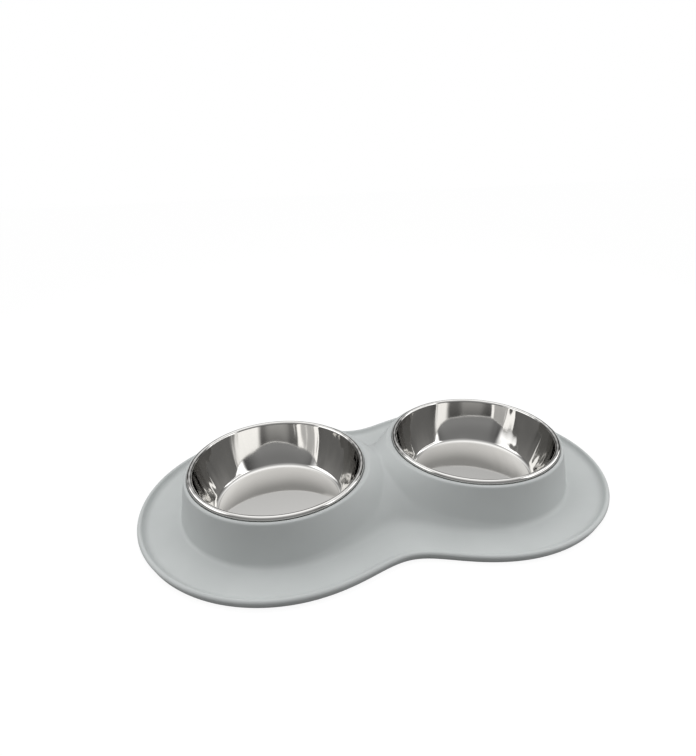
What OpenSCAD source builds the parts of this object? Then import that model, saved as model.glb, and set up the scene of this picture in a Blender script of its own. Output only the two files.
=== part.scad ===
// Double pet bowl: two steel bowls that hang by their rolled rims in one moulded silicone base.
// The base is a single skin. A flat tray with a raised lip surrounds two collars, and a low
// saddle joins the collars. The outline, the collars and the saddle all follow one another
// through the same centre distance, so the whole form stays smooth at every size.
// The origin lies on the ground, under the middle of the base.
// +X points to the right bowl, +Y to the back and +Z up.

/* [Overall] */
// Distance between the centres of the two bowls
bowl_spacing = 175; // [165:1:200]
// Clearance between each rolled rim and the silicone that holds it
seat_gap = 0.3; // [0.2:0.05:0.6]

/* [Bowls] */
// Outer diameter of a bowl over its rolled rim
rim_d = 145; // [130:1:152]
// Height of the top of the rim above the ground
rim_top = 40.85; // [40.4:0.05:60]
// Depth of a bowl, from the top of its rim to the inside of its floor
bowl_depth = 39.5; // [28:0.05:39.9]
// Lean of the bowl's wall from upright, where it meets the rolled rim
wall_lean = 9; // [6:0.5:14]
// Radius of the curve of the wall, from the rim down to the floor
wall_r = 101.5; // [80:0.5:160]
// Radius of the fillet between the wall and the floor
floor_fillet_r = 2; // [1.5:0.25:8]
// Thickness of the steel sheet
sheet_t = 0.6; // [0.5:0.05:0.9]
// Diameter of the rolled rim
bead_d = 4.5; // [3.6:0.1:6]
// Angle through which the rim is rolled
curl_angle = 290; // [180:5:295]

/* [Tray] */
// Diameter of the round lobe of the base about each bowl
lobe_d = 230.5; // [215:0.5:260]
// Length over which the outlines of the two lobes flow into each other at the waist
waist_blend = 20; // [12:0.5:28]
// Thickness of the tray
tray_t = 3; // [2:0.1:4]

/* [Lip] */
// Height of the lip round the tray, above the ground
lip_h = 6.8; // [5:0.1:12]
// Width of the lip, with the slope that rises to it from the tray
lip_w = 10; // [7:0.5:12]
// Diameter of the rounded crest of the lip
crest_d = 2.8; // [2:0.1:3.6]
// Distance that the lip's outer face leans in on its way down to the ground
lip_lean_in = 1.8; // [0.5:0.1:3]

/* [Collars] */
// Lean of a collar's wall from upright
collar_lean = 10; // [5:0.5:16]
// Radius of the rounded shoulder between a collar's top edge and its wall
shoulder_r = 2.2; // [1.6:0.1:3]
// Radius of the hollow at the foot of a collar
foot_r = 4; // [2:0.5:8]
// Share of its steepness that a collar's wall loses next to the saddle
wall_ease = 0.5; // [0.3:0.05:0.6]
// Difference of the distances to the two bowls at which half of that loss is left
ease_reach = 55; // [45:1:70]
// Thickness of a collar's wall
wall_t = 2.8; // [2:0.1:3.2]
// Radius of the rounding of a collar's top edge, next to the rolled rim
edge_round_r = 0.6; // [0.4:0.1:1]
// Distance of the collar's top edge below the middle of the rolled rim
edge_drop = 0.6; // [0:0.1:1]
// Thickness of the ledge that the rolled rim rests on
ledge_t = 2; // [1.5:0.1:3]
// Clearance between the ledge's nose and the wall of the bowl
ledge_gap = 0.8; // [0.5:0.1:1.5]

/* [Saddle] */
// Height of the saddle's ridge above the ground, without what the collars' walls add to it
saddle_h = 33; // [26:0.5:35]
// Radius of the saddle's crown, from front to back
crown_r = 66; // [56:1:80]
// Radius of the hollow at the foot of the saddle
saddle_foot_r = 12; // [8:0.5:18]
// Length over which the saddle's section opens out where it runs on round the collars
saddle_blend = 30; // [24:1:40]
// Difference of the distances to the two bowls at which half of the saddle is left
saddle_reach = 110; // [90:1:140]

/* [Hidden] */
$fn = 120;

silicone = "#b8bfbd";
steel = "#c6c7c6";

// Places along x of the two bowls, and half of each driving diameter
centre_x = bowl_spacing / 2;
rim_r = rim_d / 2;
bead_r = bead_d / 2;
lobe_r = lobe_d / 2;
crest_r = crest_d / 2;

// Bowl section: the middle of the rolled rim, the middle of the wall's curve, which is
// tangent to the rim, and the middle of the fillet, which is tangent to the wall and the floor
bead_x = rim_r - bead_r;
bead_z = rim_top - bead_r;
floor_z = rim_top - bowl_depth;
wall_x = bead_x - (wall_r + bead_r) * cos(wall_lean);
wall_z = bead_z + (wall_r + bead_r) * sin(wall_lean);
fillet_z = floor_z + floor_fillet_r;
fillet_lean = asin((wall_z - fillet_z) / (wall_r - floor_fillet_r));
fillet_x = wall_x + (wall_r - floor_fillet_r) * cos(fillet_lean);
curl_from = 180 - wall_lean;

// Seat of a rim: the groove outside it, the collar's top edge, and the ledge under it
groove_r = rim_r + seat_gap;
edge_r = groove_r + edge_round_r;
edge_z = bead_z - edge_drop;
ledge_z = rim_top - bead_d - seat_gap;
ledge_r = wall_x + sqrt(pow(wall_r + sheet_t, 2) - pow(wall_z - ledge_z, 2)) + ledge_gap;
nose_r = ledge_t / 2;
under_z = ledge_z - ledge_t;
under_r = edge_r - wall_t;

// Collar section: the arc of the shoulder, a straight leaning wall, the hollow of its foot
shoulder_end = edge_r + shoulder_r * cos(collar_lean);
shoulder_z = edge_z - shoulder_r * (1 - sin(collar_lean));
foot_z = tray_t + foot_r * (1 - sin(collar_lean));
wall_end = shoulder_end + (shoulder_z - foot_z) * tan(collar_lean);
collar_end = wall_end + foot_r * cos(collar_lean);

// Saddle section: the crown's arc, then the hollow of its foot
crown_z = saddle_h - crown_r;
saddle_foot_z = tray_t + saddle_foot_r;
saddle_end = sqrt(pow(crown_r + saddle_foot_r, 2) - pow(saddle_foot_z - crown_z, 2));
crown_end = saddle_end * crown_r / (crown_r + saddle_foot_r);

// Lip section: the slope from the tray meets the crest's arc at this angle above level
slope_meet = 49;

// How finely the base's skin is divided: spokes along the outline and along the mid-plane,
// and the shares of each stretch of a spoke at which its rings lie. The outline's spokes draw
// together by waist_share towards the waist, where the outline bends most.
outline_spokes = 54;
waist_share = 0.2;
middle_spokes = 22;
wall_shares = [0.08, 0.15, 0.19, 0.34, 0.5, 0.655, 0.72, 0.82, 1];
tray_shares = [0.14, 0.28, 0.44, 0.62, 0.8, 1];
under_wall_shares = [0.1, 0.2, 0.45, 0.65, 1];
under_tray_shares = [0.3, 0.65, 1];
collar_max_share = 0.7;
outline_steps = 30;

// How sharply the saddle and the ease of the walls fade with the gap between the distances
fade_power = 4;

// Steps along the arcs of the base's section and of the bowl's
nose_steps = 4;
corner_steps = 2;
edge_steps = 2;
crest_steps = 5;
fillet_steps = 6;
wall_steps = 12;
curl_steps = 24;

// Points of an arc of radius r about c, from angle a to angle b in n steps
function arc(c, r, a, b, n) =
    [for (i = [0:n]) let (t = a + (b - a) * i / n) c + r * [cos(t), sin(t)]];

function reversed(list) = [for (i = [len(list) - 1:-1:0]) list[i]];

// Height of a collar's skin at distance r from the bowl's centre
function collar_height(r) =
    r <= edge_r ? edge_z
    : r < shoulder_end ? edge_z - shoulder_r + sqrt(pow(shoulder_r, 2) - pow(r - edge_r, 2))
    : r < wall_end ? shoulder_z - (r - shoulder_end) / tan(collar_lean)
    : r < collar_end ? tray_t + foot_r - sqrt(pow(foot_r, 2) - pow(collar_end - r, 2))
    : tray_t;

// Height of the saddle's skin where the squared distance from its ridge is square. The arc of
// the crown runs on above the ridge where square is below zero, but not above the collars.
function saddle_height(square) =
    square < pow(crown_end, 2) ? min(edge_z, crown_z + sqrt(pow(crown_r, 2) - square))
    : square < pow(saddle_end, 2)
    ? saddle_foot_z - sqrt(pow(saddle_foot_r, 2) - pow(saddle_end - sqrt(square), 2))
    : tray_t;

// Squared distance from the saddle's ridge, at distances near and far from the two bowls. A
// soft union turns the two into one distance to the pair. On the middle plane that gives the
// plain distance from the ridge, and elsewhere it carries the section round both collars.
function ridge_square(near, far) =
    let (joint = near - saddle_blend * ln((1 + exp((near - far) / saddle_blend)) / 2))
    pow(joint, 2) - pow(centre_x, 2);

// What is left of a form at a gap between the distances to the two bowls, half at reach
function fade(gap, reach) = 1 / (1 + pow(gap / reach, fade_power));

// The saddle's share at those distances, faded towards the collars' outer sides
function saddle_share(near, far) =
    rise_share(saddle_height(ridge_square(near, far))) * fade(far - near, saddle_reach);

// Each height as a share of the full rise from the tray to the collar's edge
function rise_share(z) = (z - tray_t) / (edge_z - tray_t);

// A collar's share at distance r from its bowl, where the distances to the two bowls differ by
// gap. Towards the saddle its whole section is stretched outwards, so the wall eases.
function collar_share(r, gap) =
    rise_share(collar_height(edge_r + (r - edge_r) * (1 - wall_ease * fade(gap, ease_reach))));

// The two collars and the saddle flow together where their shares are left over from one
// another: what remains to the full rise is the product of what remains to each.
// inset draws the form in, for the underside of the skin.
function form_share(p, inset) =
    let (near = norm([abs(p[0]) - centre_x, p[1]]) + inset)
    let (far = norm([abs(p[0]) + centre_x, p[1]]) + inset)
    1 - (1 - collar_share(near, far - near)) * (1 - collar_share(far, far - near))
        * (1 - saddle_share(near, far));

function top_height(p) = tray_t + (edge_z - tray_t) * form_share(p, 0);
function under_height(p) = under_z * form_share(p, wall_t);

// Distance from the right bowl's centre to the outline, in direction a. Each step corrects
// the lobe's radius by what the other lobe adds to the joint outline.
function outline_reach(a, r, steps) =
    let (far = norm([2 * centre_x + r * cos(a), r * sin(a)]))
    steps == 0 ? r
    : outline_reach(a, -waist_blend * ln(exp(-lobe_r / waist_blend) - exp(-far / waist_blend)), steps - 1);

// Direction straight out of the outline at point p, from the pulls of the two lobes
function outward(p) =
    let (to_near = [p[0] - centre_x, p[1]], to_far = [p[0] + centre_x, p[1]])
    let (pull = to_near / norm(to_near) * exp((norm(to_far) - norm(to_near)) / waist_blend)
                + to_far / norm(to_far))
    pull / norm(pull);

// Half of the waist, where the outline crosses the mid-plane
waist_r = sqrt(pow(lobe_r + waist_blend * ln(2), 2) - pow(centre_x, 2));
waist_angle = atan2(waist_r, -centre_x);
inner_waist_r = waist_r - lip_w;

// Spokes of the right half, counted round its bowl. Each is the point where the tray meets
// the lip or the mid-plane, and the way out from there, which is zero on the mid-plane.
outline_feet = [
    for (i = [0:outline_spokes])
        let (t = 2 * i / outline_spokes - 1)
        let (a = waist_angle * (t + waist_share * (t - pow(t, 3))))
        let (r = outline_reach(a, lobe_r, outline_steps))
        let (p = [centre_x + r * cos(a), r * sin(a)])
        let (q = i == 0 || i == outline_spokes ? [0, p[1]] : p)
        let (out = i == 0 || i == outline_spokes ? [0, sign(p[1])] : outward(p))
        [q - lip_w * out, out]
];
middle_feet = [
    for (i = [1:middle_spokes - 1])
        [[0, inner_waist_r * (1 - 2 * i / middle_spokes)], [0, 0]]
];
spokes = concat(outline_feet, middle_feet);
spoke_count = len(spokes);

// Section of the seat, from the underside of the ledge up to the collar's top edge
seat_section = concat(
    [[under_r, under_z]],
    reversed(arc([ledge_r + nose_r, ledge_z - nose_r], nose_r, 90, 270, nose_steps)),
    arc([groove_r - edge_round_r, ledge_z + edge_round_r], edge_round_r, -90, 0, corner_steps),
    arc([edge_r, edge_z - edge_round_r], edge_round_r, 180, 90, edge_steps)
);

// Section of the lip, as distance in from the outline and height: the slope up from the
// tray, the crest, and the outer face down to the ground
crest_z = lip_h - crest_r;
slope_top = [crest_r + crest_r * cos(slope_meet), crest_z + crest_r * sin(slope_meet)];
slope_shares = [0.35, 0.6, 0.8];
lip_section = concat(
    [for (s = slope_shares)
        [lip_w - (lip_w - slope_top[0]) * s, tray_t + (slope_top[1] - tray_t) * pow(s, 2)]],
    arc([crest_r, crest_z], crest_r, slope_meet, 180, crest_steps),
    [[lip_lean_in, 0]]
);

// Radii of the rings along a spoke of length reach that starts at radius start
function ring_radii(start, reach, near_shares, far_shares) =
    let (turn = min(collar_end, start + (reach - start) * collar_max_share))
    concat([for (s = near_shares) start + (turn - start) * s],
           [for (s = far_shares) turn + (reach - turn) * s]);

// All points along one spoke, once round the skin: the seat, the top, the lip, the underside
function spoke_points(spoke) =
    let (foot = spoke[0], out = spoke[1], centre = [centre_x, 0])
    let (reach = norm(foot - centre), way = (foot - centre) / reach)
    let (top = [for (r = ring_radii(edge_r, reach, wall_shares, tray_shares)) centre + way * r])
    let (under = [for (r = ring_radii(under_r, reach, under_wall_shares, under_tray_shares))
                      centre + way * r])
    concat(
        [for (s = seat_section) [centre[0] + way[0] * s[0], way[1] * s[0], s[1]]],
        [for (p = top) [p[0], p[1], top_height(p)]],
        [for (s = lip_section) let (p = foot + out * (lip_w - s[0])) [p[0], p[1], s[1]]],
        [for (p = reversed(under)) [p[0], p[1], under_height(p)]]
    );

ring_count = len(spoke_points(spokes[0]));
lip_from = len(seat_section) + len(wall_shares) + len(tray_shares) - 1;
lip_to = lip_from + len(lip_section) + 1;

right_points = [for (s = spokes) for (p = spoke_points(s)) p];
left_points = [for (p = right_points) [-p[0], p[1], p[2]]];
skin_points = concat(right_points, left_points);

// The halves share their points on the mid-plane
function on_middle(spoke, ring) =
    (spoke == 0 || spoke >= outline_spokes) && ring >= lip_from && ring <= lip_to;
function point_index(half, spoke, ring) =
    let (k = spoke % spoke_count, j = ring % ring_count)
    (half == 1 && !on_middle(k, j) ? spoke_count * ring_count : 0) + k * ring_count + j;

// Across the mid-plane the skin runs on, so the lip has no faces between those spokes
function has_faces(spoke, ring) = spoke < outline_spokes || ring < lip_from || ring >= lip_to;

skin_faces = [
    for (half = [0, 1], k = [0:spoke_count - 1], j = [0:ring_count - 1])
        if (has_faces(k, j))
            let (a = point_index(half, k, j), b = point_index(half, k + 1, j))
            let (c = point_index(half, k + 1, j + 1), d = point_index(half, k, j + 1))
            each half == 0 ? [[a, b, c], [a, c, d]] : [[c, b, a], [d, c, a]]
];

// Both faces of the bowl's sheet: distance t in from the side that shows
function bowl_face(t) = concat(
    [[0, floor_z - t]],
    arc([fillet_x, fillet_z], floor_fillet_r + t, -90, -fillet_lean, fillet_steps),
    arc([wall_x, wall_z], wall_r + t, -fillet_lean, -wall_lean, wall_steps),
    arc([bead_x, bead_z], bead_r - t, curl_from, curl_from - curl_angle, curl_steps)
);

module silicone_base() {
    color(silicone)
        polyhedron(points = skin_points, faces = skin_faces, convexity = 8);
}

module bowl() {
    color(steel)
        rotate_extrude()
            polygon(concat(bowl_face(0), reversed(bowl_face(sheet_t))));
}

module left_bowl() {
    translate([-centre_x, 0, 0]) bowl();
}

module right_bowl() {
    translate([centre_x, 0, 0]) bowl();
}

silicone_base();
left_bowl();
right_bowl();
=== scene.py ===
# %% [markdown]
# A double pet bowl, dressed for looking at.
#
# The real thing comes apart into three pieces: one soft silicone moulding and two pressed steel
# bowls. The construction model already holds their true sizes, their seats and the way each bowl
# lifts out. It is loaded here as a fixed frame, and nothing in it is moved or resized. This script
# lays finer surfaces over those pieces, gives them their finish, and lights them like a product
# photograph.

import math

import bpy
import numpy as np
from mathutils import Matrix, Vector


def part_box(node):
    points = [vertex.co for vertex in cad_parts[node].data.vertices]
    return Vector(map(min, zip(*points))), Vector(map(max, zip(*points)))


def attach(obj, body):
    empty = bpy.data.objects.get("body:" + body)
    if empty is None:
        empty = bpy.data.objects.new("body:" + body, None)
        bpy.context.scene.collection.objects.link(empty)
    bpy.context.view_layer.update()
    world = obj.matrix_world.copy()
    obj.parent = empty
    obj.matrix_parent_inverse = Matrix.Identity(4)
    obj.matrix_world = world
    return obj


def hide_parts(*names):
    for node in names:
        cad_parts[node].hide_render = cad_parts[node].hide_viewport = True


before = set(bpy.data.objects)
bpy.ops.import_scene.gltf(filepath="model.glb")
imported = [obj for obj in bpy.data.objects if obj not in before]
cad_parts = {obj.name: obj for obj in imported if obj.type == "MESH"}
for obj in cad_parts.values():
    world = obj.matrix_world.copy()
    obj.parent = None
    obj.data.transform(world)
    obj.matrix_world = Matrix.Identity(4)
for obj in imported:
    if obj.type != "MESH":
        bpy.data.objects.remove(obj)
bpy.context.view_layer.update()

# %% [markdown]
# Sizes come first. Whatever the frame can tell is read from its boxes: how far apart the bowls
# are, how wide a rim is and how high it stands. The rest are the driving sizes of the moulding
# and of the pressed sheet, in metres, with the same meaning as in the construction model. Three
# forms are a little softer here than there: the fillet in the bowl, the crest of the lip, and the
# collars' feet, most of all beside the saddle. Every other length is worked out from these.

# %% Sizes
bowl_low, bowl_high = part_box("right_bowl")
CENTRE_X = (bowl_low.x + bowl_high.x) / 2
RIM_R = (bowl_high.x - bowl_low.x) / 2
RIM_TOP = bowl_high.z
MM = 1000

# A bowl: its play in the seat, its depth, its leaning and curving wall, its sheet and its rim.
SEAT_GAP = 0.0003
BOWL_DEPTH = 0.0395
WALL_LEAN = math.radians(9)
WALL_R = 0.1015
FLOOR_FILLET_R = 0.0055
SHEET_T = 0.0006
BEAD_R = 0.00225
CURL_ANGLE = math.radians(290)

# The tray: its two lobes and the waist between them, then the lip round it.
LOBE_R = 0.1152
WAIST_BLEND = 0.020
TRAY_T = 0.003
LIP_H = 0.0068
LIP_W = 0.010
CREST_R = 0.0021
LIP_LEAN_IN = 0.0018
SLOPE_POWER = 3
SLOPE_MEET = math.radians(35.3)

# A collar: its leaning wall, its shoulder and foot, its top edge and the ledge inside.
COLLAR_LEAN = math.radians(10)
SHOULDER_R = 0.0022
FOOT_R = 0.004
WALL_T = 0.0028
EDGE_ROUND_R = 0.0006
EDGE_DROP = 0.0006
LEDGE_T = 0.002
LEDGE_GAP = 0.0008

# The saddle: its section, how far it reaches, and how the collars ease into it.
SADDLE_H = 0.033
CROWN_R = 0.066
SADDLE_FOOT_R = 0.012
SADDLE_BLEND = 0.030
SADDLE_REACH = 0.110
WALL_EASE = 0.5
EASE_REACH = 0.055
FADE_POWER = 4
FOOT_SOFT = 0.04
SADDLE_SOFT = 0.35

print(f"rims {2 * RIM_R * MM:.1f} mm wide, {2 * CENTRE_X * MM:.1f} mm apart,"
      f" {RIM_TOP * MM:.2f} mm high")

# %% [markdown]
# The camera stands where the photograph was taken from. Its numbers were found by laying two
# equal circles and the outline of the base over the picture: the direction that it looks along,
# how far it is from the middle of the rims' plane, and where that middle falls in the picture.
# Turning those into a place is plain vector work: the three axes of the camera as rows of a
# matrix, then a step back along them.

# %% Camera
IMAGE_W, IMAGE_H = 696, 756
AZIMUTH = math.radians(-11.80)
ELEVATION = math.radians(23.76)
ROLL = math.radians(1.68)
FOCAL_PX = 531.4
DISTANCE = 0.4566
MIDDLE_PX = (30.7, 71.7)
SENSOR_MM = 36.0


def camera_axes(azimuth, elevation, roll):
    """Rows are the camera's right, down and forward. Forward points along the azimuth, turned
    down by the elevation; roll turns right and down about forward."""
    ca, sa = math.cos(azimuth), math.sin(azimuth)
    ce, se = math.cos(elevation), math.sin(elevation)
    forward = np.array([-sa * ce, ca * ce, -se])
    right = np.array([ca, sa, 0.0])
    down = np.cross(forward, right)
    cr, sr = math.cos(roll), math.sin(roll)
    return np.array([cr * right + sr * down, -sr * right + cr * down, forward])


def place_camera():
    """Makes the camera: its place is the middle of the rims' plane, less the offset that puts
    that point at MIDDLE_PX from the middle of the picture, DISTANCE in front of the lens."""
    axes = camera_axes(AZIMUTH, ELEVATION, ROLL)
    offset = np.array([MIDDLE_PX[0] / FOCAL_PX, MIDDLE_PX[1] / FOCAL_PX, 1.0]) * DISTANCE
    place = np.array([0.0, 0.0, RIM_TOP - BEAD_R]) - axes.T @ offset
    lens = bpy.data.cameras.new("camera")
    lens.sensor_width = SENSOR_MM
    lens.lens = SENSOR_MM * FOCAL_PX / max(IMAGE_W, IMAGE_H)
    camera = bpy.data.objects.new("camera", lens)
    bpy.context.scene.collection.objects.link(camera)
    turned = np.column_stack([axes[0], -axes[1], -axes[2]])
    camera.matrix_world = Matrix.Translation(place) @ Matrix(turned.tolist()).to_4x4()
    bpy.context.scene.camera = camera
    return place


camera_place = place_camera()
print("camera at", np.round(camera_place, 3), "m")

# %% [markdown]
# Every new surface here is a grid of points: an array of shape (rows, columns, 3), worked out
# whole with numpy. Two small helpers serve them all. One gives the points of an arc, the other
# turns a grid of vertex numbers into faces and fills a mesh from arrays, so no loop ever walks
# over the vertices.

# %% Arcs and meshes
SHARP_ANGLE = math.radians(40)


def arc(centre, radius, start, end, steps):
    """Points of a circle: centre + radius (cos t, sin t), for steps + 1 even values of t."""
    t = np.linspace(start, end, steps + 1)
    return np.asarray(centre) + radius * np.column_stack([np.cos(t), np.sin(t)])


def quads(numbers):
    """Faces between neighbouring rows and columns of a grid of vertex numbers."""
    a, b = numbers[:-1, :-1], numbers[1:, :-1]
    c, d = numbers[1:, 1:], numbers[:-1, 1:]
    return np.stack([a, b, c, d], axis=-1).reshape(-1, 4)


def closed(numbers, axis):
    """The grid of vertex numbers with its first row or column repeated after its last."""
    return np.concatenate([numbers, numbers.take([0], axis)], axis)


def make_piece(name, points, faces):
    """A smooth mesh object at the origin from an array of points and a list of face arrays.
    Points that no face uses are dropped, and edges bent past SHARP_ANGLE stay crisp."""
    corners = np.concatenate([f.ravel() for f in faces])
    sizes = np.concatenate([np.full(len(f), f.shape[1]) for f in faces])
    used, corners = np.unique(corners, return_inverse=True)
    mesh = bpy.data.meshes.new(name)
    mesh.vertices.add(len(used))
    mesh.vertices.foreach_set("co", points[used].astype(np.float32).ravel())
    mesh.loops.add(len(corners))
    mesh.loops.foreach_set("vertex_index", corners.astype(np.int32))
    mesh.polygons.add(len(sizes))
    starts = np.concatenate([[0], np.cumsum(sizes)[:-1]])
    mesh.polygons.foreach_set("loop_start", starts.astype(np.int32))
    mesh.polygons.foreach_set("use_smooth", np.ones(len(sizes), bool))
    mesh.update(calc_edges=True)
    mesh.validate()
    mesh.set_sharp_from_angle(angle=SHARP_ANGLE)
    piece = bpy.data.objects.new(name, mesh)
    bpy.context.scene.collection.objects.link(piece)
    mesh.calc_loop_triangles()
    print(f"{name}: {len(mesh.vertices)} points, {len(mesh.loop_triangles)} triangles")
    return piece


# %% [markdown]
# A bowl is pressed from one disc of steel. Its section is four curves that run into one another:
# the flat floor, a small fillet, a wall that curves gently all the way up, and a rim rolled
# outwards and down into a tube. The wall's curve matters more than it seems: a straight wall would
# show the front rim as a sagging line, and this one shows it as the arch that the picture has.
# A bowl could be spun with the Screw modifier. Working it out from the section keeps the wall's
# two faces exactly one sheet apart, and lets the rings crowd where a mirror would show a facet.

# %% Bowl section
BEAD = (RIM_R - BEAD_R, RIM_TOP - BEAD_R)
FLOOR_Z = RIM_TOP - BOWL_DEPTH
WALL_C = (BEAD[0] - (WALL_R + BEAD_R) * math.cos(WALL_LEAN),
          BEAD[1] + (WALL_R + BEAD_R) * math.sin(WALL_LEAN))
FILLET_Z = FLOOR_Z + FLOOR_FILLET_R
FILLET_LEAN = math.asin((WALL_C[1] - FILLET_Z) / (WALL_R - FLOOR_FILLET_R))
FILLET_X = WALL_C[0] + (WALL_R - FLOOR_FILLET_R) * math.cos(FILLET_LEAN)
CURL_FROM = math.pi - WALL_LEAN

FLOOR_RINGS = 12
FILLET_STEPS = 12
WALL_STEPS = 56
CURL_STEPS = 40
AROUND = 288


def bowl_face(inset):
    """One face of the sheet as (radius, height): the floor from its middle, the fillet's arc,
    the wall's arc and the rim's roll, each moved inset to the far side of the sheet."""
    floor_r = np.sin(np.linspace(0, math.pi / 2, FLOOR_RINGS)) * FILLET_X
    floor = np.column_stack([floor_r, np.full(FLOOR_RINGS, FLOOR_Z - inset)])
    fillet = arc((FILLET_X, FILLET_Z), FLOOR_FILLET_R + inset, -math.pi / 2, -FILLET_LEAN,
                 FILLET_STEPS)
    wall = arc(WALL_C, WALL_R + inset, -FILLET_LEAN, -WALL_LEAN, WALL_STEPS)
    curl = arc(BEAD, BEAD_R - inset, CURL_FROM, CURL_FROM - CURL_ANGLE, CURL_STEPS)
    return np.concatenate([floor, fillet[1:], wall[1:], curl[1:]])


def bowl_surface(centre_x):
    """Points and faces of a bowl: the section, down the inside and back up the outside, turned
    about the bowl's axis. (radius, height) becomes (x + radius cos a, radius sin a, height)."""
    section = np.concatenate([bowl_face(0.0), bowl_face(SHEET_T)[::-1]])
    inner, outer = section[0], section[-1]
    rings = section[1:-1]
    a = np.linspace(0, 2 * math.pi, AROUND, endpoint=False)[:, None]
    r, z = rings[None, :, 0], rings[None, :, 1]
    grid = np.stack(np.broadcast_arrays(centre_x + r * np.cos(a), r * np.sin(a), z), axis=-1)
    poles = np.array([[centre_x, 0, inner[1]], [centre_x, 0, outer[1]]])
    points = np.concatenate([grid.reshape(-1, 3), poles])
    numbers = closed(np.arange(grid[..., 0].size).reshape(grid.shape[:2]), 0)
    first, last = numbers[:, 0], numbers[:, -1]
    inner_pole = np.full(AROUND, len(points) - 2)
    outer_pole = np.full(AROUND, len(points) - 1)
    faces = [quads(numbers),
             np.column_stack([inner_pole, first[:-1], first[1:]]),
             np.column_stack([outer_pole, last[1:], last[:-1]])]
    return points, faces


left_bowl = make_piece("left_bowl_sheet", *bowl_surface(-CENTRE_X))
right_bowl = make_piece("right_bowl_sheet", *bowl_surface(CENTRE_X))

# %% [markdown]
# The base is one skin of silicone that has to be four things at once: two collars, the saddle
# between them, a flat tray, and the lip round it. Joining separate solids would leave seams that
# a moulding doesn't have. So the top is a single height over the ground. Each collar and the
# saddle says what share of the full rise it gives at a point, and the shares are screened: what
# is missing from the full rise is the product of what each one misses. Where only one form
# reaches, it keeps its own section. Where two meet, they flow.

# %% Heights of the base
GROOVE_R = RIM_R + SEAT_GAP
EDGE_R = GROOVE_R + EDGE_ROUND_R
EDGE_Z = BEAD[1] - EDGE_DROP
LEDGE_Z = RIM_TOP - 2 * BEAD_R - SEAT_GAP
LEDGE_R = WALL_C[0] + math.sqrt((WALL_R + SHEET_T) ** 2 - (WALL_C[1] - LEDGE_Z) ** 2) + LEDGE_GAP
NOSE_R = LEDGE_T / 2
UNDER_Z = LEDGE_Z - LEDGE_T
UNDER_R = EDGE_R - WALL_T
SHOULDER_END = EDGE_R + SHOULDER_R * math.cos(COLLAR_LEAN)
SHOULDER_Z = EDGE_Z - SHOULDER_R * (1 - math.sin(COLLAR_LEAN))
FOOT_Z = TRAY_T + FOOT_R * (1 - math.sin(COLLAR_LEAN))
WALL_END = SHOULDER_END + (SHOULDER_Z - FOOT_Z) * math.tan(COLLAR_LEAN)
COLLAR_END = WALL_END + FOOT_R * math.cos(COLLAR_LEAN)
CROWN_Z = SADDLE_H - CROWN_R
SADDLE_FOOT_Z = TRAY_T + SADDLE_FOOT_R
SADDLE_END = math.sqrt((CROWN_R + SADDLE_FOOT_R) ** 2 - (SADDLE_FOOT_Z - CROWN_Z) ** 2)
CROWN_END = SADDLE_END * CROWN_R / (CROWN_R + SADDLE_FOOT_R)


def root(value):
    """Square root that is zero for what lies outside its arc."""
    return np.sqrt(np.maximum(value, 0.0))


def collar_height(r):
    """Height at distance r from a bowl's axis: level inside the top edge, then the arc of the
    shoulder, the straight leaning wall, the hollow arc of the foot, and the tray."""
    shoulder = EDGE_Z - SHOULDER_R + root(SHOULDER_R ** 2 - (r - EDGE_R) ** 2)
    wall = SHOULDER_Z - (r - SHOULDER_END) / math.tan(COLLAR_LEAN)
    foot = TRAY_T + FOOT_R - root(FOOT_R ** 2 - (COLLAR_END - r) ** 2)
    places = [r <= EDGE_R, r < SHOULDER_END, r < WALL_END, r < COLLAR_END]
    return np.select(places, [EDGE_Z, shoulder, wall, foot], TRAY_T)


def saddle_height(square):
    """Height where the squared distance from the ridge is square: the crown's arc, the hollow
    of its foot, the tray. The arc runs on above the ridge where square is below zero."""
    crown = CROWN_Z + root(CROWN_R ** 2 - square)
    foot = SADDLE_FOOT_Z - root(SADDLE_FOOT_R ** 2 - (SADDLE_END - root(square)) ** 2)
    return np.select([square < CROWN_END ** 2, square < SADDLE_END ** 2], [crown, foot], TRAY_T)


def rise_share(z):
    """A height as a share of the full rise from the tray to the collar's edge."""
    return (z - TRAY_T) / (EDGE_Z - TRAY_T)


def ridge_square(near, far):
    """Squared distance from the saddle's ridge. A soft union of the two distances to the bowls'
    axes gives one distance to the pair, near - k ln((1 + exp((near - far) / k)) / 2). On the
    middle plane that gives the plain distance from the ridge, and elsewhere it carries the
    saddle's section round both collars without a crease."""
    joint = near - SADDLE_BLEND * np.log((1 + np.exp((near - far) / SADDLE_BLEND)) / 2)
    return joint ** 2 - CENTRE_X ** 2


def fade(gap, reach):
    """What is left of a form at a gap between the two distances: 1 / (1 + (gap / reach)^4)."""
    return 1 / (1 + (gap / reach) ** FADE_POWER)


def saddle_share(near, far):
    """The saddle's share of the rise, faded towards the collars' outer sides."""
    share = rise_share(saddle_height(ridge_square(near, far)))
    return np.minimum(share, 1) * fade(far - near, SADDLE_REACH)


def collar_share(r, gap):
    """A collar's share at distance r from its bowl. Towards the saddle its section is stretched
    outwards, so the wall eases. c becomes c^2 (1 + e) / (c + e), which ends the foot softly, and
    the more so where it runs into the saddle."""
    ease = fade(gap, EASE_REACH)
    share = rise_share(collar_height(EDGE_R + (r - EDGE_R) * (1 - WALL_EASE * ease)))
    soft = FOOT_SOFT + SADDLE_SOFT * ease
    return share ** 2 * (1 + soft) / (share + soft)


def form_share(x, y, inset):
    """1 - (1 - near collar)(1 - far collar)(1 - saddle), each drawn in by inset."""
    near = np.hypot(np.abs(x) - CENTRE_X, y) + inset
    far = np.hypot(np.abs(x) + CENTRE_X, y) + inset
    gap = far - near
    return 1 - (1 - collar_share(near, gap)) * (1 - collar_share(far, gap)) * (
        1 - saddle_share(near, far))


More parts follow.
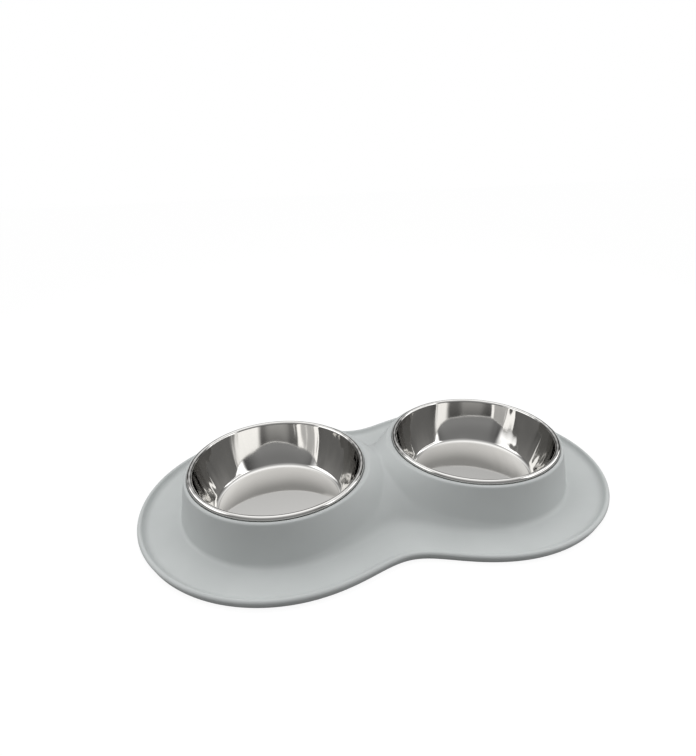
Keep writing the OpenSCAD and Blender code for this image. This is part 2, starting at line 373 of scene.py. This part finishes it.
def top_height(x, y):
    """The upper skin: the tray's height plus the form's share of the full rise."""
    return TRAY_T + (EDGE_Z - TRAY_T) * form_share(x, y, 0.0)


def under_height(x, y):
    """The lower skin, one wall in from the upper one, down to the ground."""
    return UNDER_Z * form_share(x, y, WALL_T)


print(f"collar foot ends {COLLAR_END * MM:.1f} mm from its axis,"
      f" saddle {SADDLE_END * MM:.1f} mm from its ridge")

# %% [markdown]
# Seen from above the base is two round lobes that melt into each other. The outline is a contour
# of a soft union: each lobe pulls with exp(-distance / WAIST_BLEND), and the contour is where the
# two pulls add up to what one lobe has at its own radius. There is no closed formula for its
# distance in a given direction, but a few rounds of putting the last answer back in settle it for
# all directions at once.

# %% Outline of the base
OUTLINE_ROUNDS = 30
OUTLINE_SPOKES = 270
MIDDLE_SPOKES = 64
WAIST_CROWDING = 0.2


def outline_reach(a):
    """Distance from the right bowl's axis to the outline in direction a: r = -k ln(exp(-R / k)
    - exp(-far / k)), put back into itself until it settles."""
    r = np.full_like(a, LOBE_R)
    for _ in range(OUTLINE_ROUNDS):
        far = np.hypot(2 * CENTRE_X + r * np.cos(a), r * np.sin(a))
        pull = np.exp(-LOBE_R / WAIST_BLEND) - np.exp(-far / WAIST_BLEND)
        r = -WAIST_BLEND * np.log(pull)
    return r


def outward(p):
    """Unit direction out of the outline: both lobes' outward directions, weighted by pull."""
    near, far = p - [CENTRE_X, 0], p + [CENTRE_X, 0]
    near_r, far_r = np.linalg.norm(near, axis=1)[:, None], np.linalg.norm(far, axis=1)[:, None]
    way = near / near_r * np.exp((far_r - near_r) / WAIST_BLEND) + far / far_r
    return way / np.linalg.norm(way, axis=1)[:, None]


def spoke_feet():
    """For each spoke of the right half, the point where the tray meets the lip or the middle
    plane, and the direction out from there, which is zero on the middle plane. Spokes lie at
    angles t + c (t - t^3) of the way round, which crowds them a little towards the waist."""
    waist_r = math.sqrt((LOBE_R + WAIST_BLEND * math.log(2)) ** 2 - CENTRE_X ** 2)
    waist_angle = math.atan2(waist_r, -CENTRE_X)
    t = np.linspace(-1, 1, OUTLINE_SPOKES + 1)
    a = waist_angle * (t + WAIST_CROWDING * (t - t ** 3))
    r = outline_reach(a)
    edge = np.column_stack([CENTRE_X + r * np.cos(a), r * np.sin(a)])
    out = outward(edge)
    edge[[0, -1], 0] = 0.0
    out[0], out[-1] = (0.0, -1.0), (0.0, 1.0)
    s = np.linspace(1, -1, MIDDLE_SPOKES + 1)[1:-1]
    middle = np.column_stack([np.zeros_like(s), s * (waist_r - LIP_W)])
    feet = np.concatenate([edge - LIP_W * out, middle])
    return feet, np.concatenate([out, np.zeros_like(middle)])


feet, outs = spoke_feet()
print(f"{len(feet)} spokes, waist {2 * (feet[0] @ outs[0] + LIP_W) * MM:.1f} mm across")

# %% [markdown]
# Along each spoke the skin goes once round: up the seat that the rim rests in, over the collar
# and down to the tray, over the lip to the ground, and back underneath. Those four stretches are
# columns of one grid, and the spokes are its rows, so the base is a closed skin with no seams.
# The left half is the mirror of the right, and both use the same points on the middle plane.

# %% Skin of the base
NOSE_STEPS = 10
CORNER_STEPS = 5
EDGE_STEPS = 6
CREST_STEPS = 16
SLOPE_STEPS = 10
SHOULDER_RINGS = 12
WALL_RINGS = 12
FOOT_RINGS = 10
TRAY_RINGS = 22
UNDER_RINGS = 6
COLLAR_RINGS_MOST = 0.7


def seat_section():
    """Seat as (radius, height): the ledge's rounded nose, the groove's corner, and the inside
    of the collar's top edge."""
    nose = arc((LEDGE_R + NOSE_R, LEDGE_Z - NOSE_R), NOSE_R,
               1.5 * math.pi, 0.5 * math.pi, NOSE_STEPS)
    corner = arc((GROOVE_R - EDGE_ROUND_R, LEDGE_Z + EDGE_ROUND_R), EDGE_ROUND_R,
                 -math.pi / 2, 0.0, CORNER_STEPS)
    edge = arc((EDGE_R, EDGE_Z - EDGE_ROUND_R), EDGE_ROUND_R, math.pi, math.pi / 2, EDGE_STEPS)
    return np.concatenate([[[UNDER_R, UNDER_Z]], nose, corner, edge])


def lip_section():
    """Lip as (distance in from the outline, height): a slope that rises with the third power of
    the way along it, the crest's arc, and the outer face down to the ground."""
    crest_z = LIP_H - CREST_R
    slope_top = (CREST_R + CREST_R * math.cos(SLOPE_MEET), crest_z + CREST_R * math.sin(SLOPE_MEET))
    s = np.linspace(0, 1, SLOPE_STEPS + 1)[1:-1]
    slope = np.column_stack([LIP_W + (slope_top[0] - LIP_W) * s,
                             TRAY_T + (slope_top[1] - TRAY_T) * s ** SLOPE_POWER])
    crest = arc((CREST_R, crest_z), CREST_R, SLOPE_MEET, math.pi, CREST_STEPS)
    return np.concatenate([slope, crest, [[LIP_LEAN_IN, 0.0]]])


def ring_places():
    """Where the collar's rings lie, as shares of its width: even along the arc of the shoulder,
    down the wall, and along the arc of the foot."""
    shoulder = EDGE_R + SHOULDER_R * np.sin(
        np.linspace(0, math.pi / 2 - COLLAR_LEAN, SHOULDER_RINGS + 1)[1:])
    wall = np.linspace(SHOULDER_END, WALL_END, WALL_RINGS + 1)[1:]
    foot = COLLAR_END - FOOT_R * np.cos(np.linspace(COLLAR_LEAN, math.pi / 2, FOOT_RINGS + 1)[1:])
    return (np.concatenate([shoulder, wall, foot]) - EDGE_R) / (COLLAR_END - EDGE_R)


def ring_points(centre, way, reach, start, far_rings):
    """Plan points along every spoke from radius start to its foot: the rings of the collar
    first, which take up COLLAR_RINGS_MOST of the spoke at most, then far_rings over the tray."""
    turn = np.minimum(COLLAR_END, start + (reach - start) * COLLAR_RINGS_MOST)
    far = np.linspace(0, 1, far_rings + 1)[1:]
    radii = np.concatenate([start + (turn - start) * ring_places(),
                            turn + (reach - turn) * far], axis=1)
    return centre + way[:, None, :] * radii[..., None]


def skin_grid():
    """Points of the right half, one row a spoke, and the columns where the lip begins and ends."""
    centre = np.array([CENTRE_X, 0.0])
    reach = np.linalg.norm(feet - centre, axis=1)[:, None]
    way = (feet - centre) / reach
    seat, lip = seat_section(), lip_section()
    seat_xy = centre + way[:, None, :] * seat[None, :, :1]
    top_xy = ring_points(centre, way, reach, EDGE_R, TRAY_RINGS)
    lip_xy = feet[:, None, :] + outs[:, None, :] * (LIP_W - lip[None, :, :1])
    under_xy = ring_points(centre, way, reach, UNDER_R, UNDER_RINGS)[:, ::-1]
    rows = len(feet)
    heights = [np.broadcast_to(seat[:, 1], (rows, len(seat))),
               top_height(top_xy[..., 0], top_xy[..., 1]),
               np.broadcast_to(lip[:, 1], (rows, len(lip))),
               under_height(under_xy[..., 0], under_xy[..., 1])]
    plan = np.concatenate([seat_xy, top_xy, lip_xy, under_xy], axis=1)
    grid = np.concatenate([plan, np.concatenate(heights, axis=1)[..., None]], axis=2)
    lip_from = seat_xy.shape[1] + top_xy.shape[1] - 1
    return grid, lip_from, lip_from + len(lip) + 1


def base_surface():
    """Both halves of the skin. The left half's points are mirrored, its faces turned round, and
    on the middle plane its numbers are those of the right half."""
    grid, lip_from, lip_to = skin_grid()
    rows, columns = grid.shape[:2]
    points = np.concatenate([grid.reshape(-1, 3), grid.reshape(-1, 3) * [-1, 1, 1]])
    right = np.arange(rows * columns).reshape(rows, columns)
    left = right + rows * columns
    on_middle = np.r_[0, OUTLINE_SPOKES:rows]
    left[on_middle[:, None], np.arange(lip_from, lip_to + 1)] = (
        right[on_middle[:, None], np.arange(lip_from, lip_to + 1)])
    has_face = np.ones((rows, columns), bool)
    has_face[OUTLINE_SPOKES:, lip_from:lip_to] = False
    faces = []
    for numbers in (right, left):
        faces.append(quads(closed(closed(numbers, 0), 1))[has_face.ravel()])
    faces[1] = faces[1][:, ::-1]
    return points, faces


base = make_piece("silicone_skin", *base_surface())

# %% [markdown]
# Finishes are node trees, and node trees written out one link at a time are hard to read. The
# first class below wraps a socket, so that sums and products of sockets are written as Python and
# add their own Math nodes. The second builds a tree. Any other kind of node comes from its one
# method, node, which takes the node's type, its settings and what goes into its sockets. Three
# short methods call that one for what is wanted most: a noise, the parts of a vector, and a
# colour between two others.

# %% Writing shaders as formulas
WHITE = (1.0, 1.0, 1.0, 1.0)
NOISE_MIDDLE = 0.5
MIX_A, MIX_B, MIX_RESULT = 6, 7, 2


class Wire:
    """A number that flows between nodes. Arithmetic on it adds Math nodes to its tree."""

    def __init__(self, finish, socket):
        self.finish = finish
        self.socket = socket

    def math(self, operation, *values):
        """One Math node on this number and up to two more."""
        inputs = dict(enumerate((self, *values)))
        return self.finish.node("ShaderNodeMath", {"operation": operation}, inputs)

    def __add__(self, other): return self.math("ADD", other)
    def __sub__(self, other): return self.math("SUBTRACT", other)
    def __neg__(self): return self * -1.0
    def __rsub__(self, other): return -self + other
    def __mul__(self, other): return self.math("MULTIPLY", other)
    def __truediv__(self, other): return self.math("DIVIDE", other)
    def __pow__(self, other): return self.math("POWER", other)
    __radd__ = __add__
    __rmul__ = __mul__

    def between(self, low, high):
        """0 below low, 1 above high, and a smooth step from one to the other."""
        return self.finish.node("ShaderNodeMapRange", {"interpolation_type": "SMOOTHSTEP"},
                                {"Value": self, "From Min": low, "From Max": high})


class Finish:
    """A material, light or world whose node tree is built with node()."""

    def __init__(self, tree):
        self.tree = tree
        tree.nodes.clear()

    def node(self, kind, settings, inputs, output=0):
        """Adds one node: its settings first, then values or links for its sockets, by name or
        number. Returns the chosen output."""
        made = self.tree.nodes.new(kind)
        for name, value in settings.items():
            setattr(made, name, value)
        for name, value in inputs.items():
            if isinstance(value, Wire):
                self.tree.links.new(value.socket, made.inputs[name])
            else:
                made.inputs[name].default_value = value
        return Wire(self, made.outputs[output]) if len(made.outputs) else None

    def noise(self, place, scale, detail=0.0):
        """A noise that swings about NOISE_MIDDLE. Detail adds finer waves to it."""
        return self.node("ShaderNodeTexNoise", {},
                         {"Vector": place, "Scale": scale, "Detail": detail})

    def parts(self, vector):
        """The three numbers of a vector."""
        apart = self.node("ShaderNodeSeparateXYZ", {}, {"Vector": vector}).socket.node
        return [Wire(self, output) for output in apart.outputs]

    def mix(self, factor, a, b):
        """A colour between a and b. A Mix node keeps its colour sockets after those for numbers
        and vectors, so they are given by number."""
        return self.node("ShaderNodeMix", {"data_type": "RGBA"},
                         {"Factor": factor, MIX_A: a, MIX_B: b}, MIX_RESULT)


def new_material(name):
    """An empty material with nodes, and its Finish."""
    material = bpy.data.materials.new(name)
    material.use_nodes = True
    return material, Finish(material.node_tree)


# %% [markdown]
# Silicone straight from the mould is matte because the steel mould was blasted: the surface is
# covered in tiny dimples, too small to see one by one, that break every reflection up. A picture
# of the grain could be laid over it, but a noise on Object coordinates needs no unwrapping and has
# no seam. So the finish has the dimples as a fine bump, a slow drift in tone such as pigment gives,
# and a roughness that varies a little where the moulding has been handled.

# %% Silicone
SILICONE_LIGHT = (0.572, 0.595, 0.591, 1.0)
SILICONE_DARK = (0.546, 0.569, 0.565, 1.0)
SILICONE_ROUGH, SILICONE_SHINE = 0.56, 0.35
DRIFT_PER_M, DRIFT_DETAIL = 22.0, 3.0
DRIFT_FROM, DRIFT_TO = 0.3, 0.7
GRAIN_PER_M, GRAIN_DETAIL = 2600.0, 1.0
GRAIN_HEIGHT, GRAIN_STRENGTH = 0.00003, 0.5
ROUGH_BY_DRIFT, ROUGH_BY_GRAIN = 0.08, 0.06


def silicone_finish():
    """Matte grey rubber: tone and roughness drift with a slow noise, and a fine noise gives the
    grain."""
    material, f = new_material("silicone")
    place = f.node("ShaderNodeTexCoord", {}, {}, output="Object")
    drift = f.noise(place, DRIFT_PER_M, DRIFT_DETAIL)
    grain = f.noise(place, GRAIN_PER_M, GRAIN_DETAIL)
    tone = f.mix(drift.between(DRIFT_FROM, DRIFT_TO), SILICONE_DARK, SILICONE_LIGHT)
    rough = (SILICONE_ROUGH + (drift - NOISE_MIDDLE) * ROUGH_BY_DRIFT
             + (grain - NOISE_MIDDLE) * ROUGH_BY_GRAIN)
    bump = f.node("ShaderNodeBump", {}, {"Height": grain, "Distance": GRAIN_HEIGHT,
                                         "Strength": GRAIN_STRENGTH})
    shader = f.node("ShaderNodeBsdfPrincipled", {},
                    {"Base Color": tone, "Roughness": rough, "Normal": bump,
                     "Specular IOR Level": SILICONE_SHINE})
    f.node("ShaderNodeOutputMaterial", {}, {"Surface": shader})
    return material


silicone = silicone_finish()
print(f"silicone grain {MM / GRAIN_PER_M:.2f} mm apart and {GRAIN_HEIGHT * MM:.2f} mm high")

# %% [markdown]
# The bowls are polished stainless steel. Nearly all of their look is what they mirror, so the
# finish stays simple and the faults do the work: a pressed wall is never quite round, which makes
# its reflections waver, and the floor was polished on a lathe, which leaves rings too fine to
# count. Both are bumps worked out from the distance and the direction from the bowl's axis. The
# floor has slow waves of its own, since a pattern by direction would draw a star in its middle.
# Rolled sheet draws unevenly along and across its grain, so the shortest waves of the wall, its
# ripples, are only at the two sides, where the picture shows streaks.

# %% Steel
STEEL_COLOUR = (0.640, 0.632, 0.616, 1.0)
STEEL_ROUGH = 0.055
SMUDGES_PER_M, SMUDGE_DETAIL, SMUDGE_ROUGH = 38.0, 4.0, 0.05
SMUDGE_FROM, SMUDGE_TO = 0.45, 0.8
RINGS_PER_M, RING_DETAIL, RING_HEIGHT = 900.0, 2.0, 0.0000012
CLIMB_PER_M = 5.0
WAVER_SCALE, WAVER_HEIGHT = 2.6, 0.0007
STREAK_SCALE, STREAK_HEIGHT = 5.5, 0.00010
RIPPLE_SCALE, RIPPLE_HEIGHT = 9.0, 0.00045
SIDE_FROM, SIDE_TO = 0.45, 0.95
WAVES_PER_M, WAVE_HEIGHT = 24.0, 0.00010
WALL_FROM, WALL_TO = 0.0005, 0.008


def steel_finish(name, centre_x):
    """Polished steel about the axis at centre_x. The floor has rings, a noise of the distance
    to the axis, and waves, a noise of the place. The wall has wavers, streaks and ripples,
    noises of the direction from the axis that change slowly with height. Dents are in metres,
    so the bump's distance is 1."""
    material, f = new_material(name)
    place = f.node("ShaderNodeTexCoord", {}, {}, output="Object")
    centred = f.node("ShaderNodeMapping", {}, {"Vector": place, "Location": (-centre_x, 0.0, 0.0)})
    x, y, z = f.parts(centred)
    radius = (x * x + y * y) ** 0.5
    across = x / radius
    on_wall = z.between(FLOOR_Z + WALL_FROM, FLOOR_Z + WALL_TO)
    at_sides = across.math("ABSOLUTE").between(SIDE_FROM, SIDE_TO)
    way = f.node("ShaderNodeCombineXYZ", {}, {"X": across, "Y": y / radius, "Z": z * CLIMB_PER_M})
    wall_dents = ((f.noise(way, WAVER_SCALE) - NOISE_MIDDLE) * WAVER_HEIGHT
                  + (f.noise(way, STREAK_SCALE) - NOISE_MIDDLE) * STREAK_HEIGHT
                  + (f.noise(way, RIPPLE_SCALE) - NOISE_MIDDLE) * at_sides * RIPPLE_HEIGHT)
    floor_dents = (f.noise(centred, WAVES_PER_M) - NOISE_MIDDLE) * WAVE_HEIGHT
    dents = wall_dents * on_wall + floor_dents * (1 - on_wall)
    from_axis = f.node("ShaderNodeCombineXYZ", {}, {"X": radius * RINGS_PER_M})
    rings = f.noise(from_axis, 1.0, RING_DETAIL) * (1 - on_wall)
    fine = f.node("ShaderNodeBump", {}, {"Height": rings, "Distance": RING_HEIGHT})
    bump = f.node("ShaderNodeBump", {}, {"Height": dents, "Distance": 1.0, "Normal": fine})
    smudges = f.noise(centred, SMUDGES_PER_M, SMUDGE_DETAIL).between(SMUDGE_FROM, SMUDGE_TO)
    shader = f.node("ShaderNodeBsdfPrincipled", {},
                    {"Base Color": STEEL_COLOUR, "Metallic": 1.0, "Normal": bump,
                     "Roughness": STEEL_ROUGH + smudges * SMUDGE_ROUGH})
    f.node("ShaderNodeOutputMaterial", {}, {"Surface": shader})
    return material


left_steel = steel_finish("steel_left", -CENTRE_X)
right_steel = steel_finish("steel_right", CENTRE_X)
print(f"steel walls waver by {WAVER_HEIGHT * MM:.1f} mm at most, floors by"
      f" {WAVE_HEIGHT * MM:.1f} mm")

# %% [markdown]
# Each new piece takes the place of the plain solid it was laid over. It rides on the same body,
# so a bowl still lifts when the joint does.
# The two bowls have a finish each, because the rings and ripples are centred on each bowl's axis.

# %% Put the finishes on
for piece, finish, body, node, slot in (
        (base, silicone, "base", "silicone_base", "silicone"),
        (left_bowl, left_steel, "left_bowl", "left_bowl", "steel"),
        (right_bowl, right_steel, "right_bowl", "right_bowl", "steel")):
    piece.data.materials.append(finish)
    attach(piece, body)
    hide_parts(node)
print("dressed", [piece.name for piece in (base, left_bowl, right_bowl)])

# %% [markdown]
# The floor is a plain pale sheet. The camera sees it white, as on a cut-out product picture, and
# mirrors see it a paler grey, which draws the thin outline of the rims. It gives back little
# light to the underside of the lip, which is dark in the picture. A part of what the camera sees
# is still a lit surface, so the object keeps its soft shadow.

# %% Floor
FLOOR_SIZE = 6.0
FLOOR_BELOW = 0.0002
FLOOR_GLOW = 0.85
FLOOR_SEEN, FLOOR_MIRRORED = 1.05, 0.30
FLOOR_GREY = (0.30, 0.30, 0.30, 1.0)


def paper_finish():
    """White paper to the camera, pale grey to mirrors, and darker grey to every other ray. To the
    first two it is a mix of a glow, FLOOR_GLOW of the whole, and a lit white surface."""
    material, f = new_material("floor_paper")
    seen = f.node("ShaderNodeLightPath", {}, {}, output="Is Camera Ray")
    mirrored = f.node("ShaderNodeLightPath", {}, {}, output="Is Glossy Ray")
    either = seen.math("MAXIMUM", mirrored)
    strength = seen * FLOOR_SEEN + mirrored * FLOOR_MIRRORED
    glow = f.node("ShaderNodeEmission", {}, {"Color": WHITE, "Strength": strength})
    lit = f.node("ShaderNodeBsdfDiffuse", {}, {"Color": f.mix(either, FLOOR_GREY, WHITE)})
    both = f.node("ShaderNodeMixShader", {}, {"Fac": either * FLOOR_GLOW, 1: lit, 2: glow})
    f.node("ShaderNodeOutputMaterial", {}, {"Surface": both})
    return material


def make_floor():
    """A large square of that paper, just under the base."""
    half = FLOOR_SIZE / 2
    corners = np.array([[-half, -half], [half, -half], [half, half], [-half, half]])
    points = np.column_stack([corners, np.full(len(corners), -FLOOR_BELOW)])
    floor = make_piece("floor", points, [np.array([[0, 1, 2, 3]])])
    floor.data.materials.append(paper_finish())


make_floor()

# %% [markdown]
# Polished steel shows its surroundings, so the lights are shaped first of all for what the bowls
# mirror. Two large softboxes stand left and right of the line of sight, as they do in a product
# studio, and give each bowl its two pale flanks. The left one is a cloth softbox, brightest in
# the middle and dying away towards its frame. The right one has a darker middle, so that the
# bowls mirror it as a frame. A lamp's own node tree does both: across an area lamp the Parametric
# output runs from 0 to 1 both ways, and smooth steps from each edge fade the light in.

# %% Lights
SIDE_DISTANCE = 0.70
LEFT_HEIGHT, RIGHT_HEIGHT = 0.49, 0.45
LEFT_BOX = {"size": (1.05, 0.82), "radiance": 1.90, "edge": 0.30, "dip": 0.0}
RIGHT_BOX = {"size": (0.92, 0.66), "radiance": 2.10, "edge": 0.10, "dip": 0.66}
DIP_FROM, DIP_TO = 0.22, 0.32


def softbox(name, place, aim, size, radiance, edge, dip):
    """A rectangular soft light at place that faces aim. Its power is radiance x pi x area, its
    light fades out over a share, edge, of its width and height at every edge, and its middle is
    darker by the share dip."""
    lamp = bpy.data.lights.new(name, "AREA")
    lamp.shape = "RECTANGLE"
    lamp.size, lamp.size_y = size
    lamp.energy = radiance * math.pi * size[0] * size[1]
    lamp.use_nodes = True
    f = Finish(lamp.node_tree)
    u, v, _ = f.parts(f.node("ShaderNodeNewGeometry", {}, {}, output="Parametric"))

    def inside(low, high):
        """A smooth step in from each of the four edges, multiplied."""
        return (u.between(low, high) * (1 - u).between(low, high)
                * v.between(low, high) * (1 - v).between(low, high))

    cloth = inside(0, edge) * (1 - inside(DIP_FROM, DIP_TO) * dip)
    shine = f.node("ShaderNodeEmission", {}, {"Color": WHITE, "Strength": cloth})
    f.node("ShaderNodeOutputLight", {}, {"Surface": shine})
    box = bpy.data.objects.new(name, lamp)
    bpy.context.scene.collection.objects.link(box)
    box.location = place
    box.rotation_euler = (aim - place).to_track_quat("-Z", "Y").to_euler()
    print(f"{name}: {size[0]} x {size[1]} m, {lamp.energy:.2f} W")


for name, side, height, shape in (("left_softbox", -1, LEFT_HEIGHT, LEFT_BOX),
                                  ("right_softbox", 1, RIGHT_HEIGHT, RIGHT_BOX)):
    aim = Vector((0, 0, height))
    foot = Vector((math.cos(AZIMUTH), math.sin(AZIMUTH), 0)) * side * SIDE_DISTANCE
    softbox(name, foot + aim, aim, **shape)

# %% [markdown]
# The rest of the studio is the world: a white background to the camera, and to everything else
# the light of the room. Its strength comes from the direction that light arrives from, which is
# what Texture Coordinate's Generated output holds in a world. How far that points up, how far
# along the line of sight and how far aside are three numbers, and smooth steps on them say where
# the room is bright: overhead, high up behind the object but less towards both sides, and low
# down in front. What lies low behind it and beside it is nearly black, because polished steel
# needs something dark to show its shape. A brighter patch overhead, leant a little backwards,
# makes the pale pool on each bowl's floor.

# %% World
ROOM_DARK = 0.03
OVERHEAD, OVERHEAD_FROM, OVERHEAD_TO = 0.54, 0.25, 0.85
ZENITH, ZENITH_FROM, ZENITH_TO, ZENITH_LEAN = 0.76, 0.71, 1.0, math.radians(12)
BACK, BACK_FROM, BACK_TO = 0.41, -0.20, 0.80
SIDE_LOSS, SIDE_LOSS_FROM, SIDE_LOSS_TO = 0.85, 0.25, 0.60
FRONT, FRONT_FROM, FRONT_TO = 0.28, 0.38, 0.80
HIGH_FROM, HIGH_TO = 0.20, 0.60


def room_light(f):
    """Strength of the room's light by direction: dark + overhead + zenith + high behind + low in
    front. Each is a product of smooth steps on how far the direction points aside, along the
    line of sight and up."""
    way = f.node("ShaderNodeTexCoord", {}, {}, output="Generated")
    aside, depth, up = f.parts(f.node("ShaderNodeVectorRotate", {"rotation_type": "Z_AXIS"},
                                      {"Vector": way, "Angle": -AZIMUTH}))
    high = up.between(HIGH_FROM, HIGH_TO)
    zenith = up * math.cos(ZENITH_LEAN) + depth * math.sin(ZENITH_LEAN)
    lost = aside.math("ABSOLUTE").between(SIDE_LOSS_FROM, SIDE_LOSS_TO) * SIDE_LOSS
    return (ROOM_DARK
            + up.between(OVERHEAD_FROM, OVERHEAD_TO) * OVERHEAD
            + zenith.between(ZENITH_FROM, ZENITH_TO) * ZENITH
            + depth.between(BACK_FROM, BACK_TO) * high * (1 - lost) * BACK
            + (-depth).between(FRONT_FROM, FRONT_TO) * (1 - high) * FRONT)


def make_world():
    """White to the camera, and the room's light to everything else."""
    world = bpy.data.worlds.new("studio")
    world.use_nodes = True
    bpy.context.scene.world = world
    f = Finish(world.node_tree)
    seen = f.node("ShaderNodeLightPath", {}, {}, output="Is Camera Ray")
    strength = seen + (1 - seen) * room_light(f)
    back = f.node("ShaderNodeBackground", {}, {"Color": WHITE, "Strength": strength})
    f.node("ShaderNodeOutputWorld", {}, {"Surface": back})


make_world()
bpy.context.scene.view_settings.view_transform = "Standard"
print(f"room light {ROOM_DARK} low down, up to {ROOM_DARK + OVERHEAD + ZENITH:.2f} overhead")
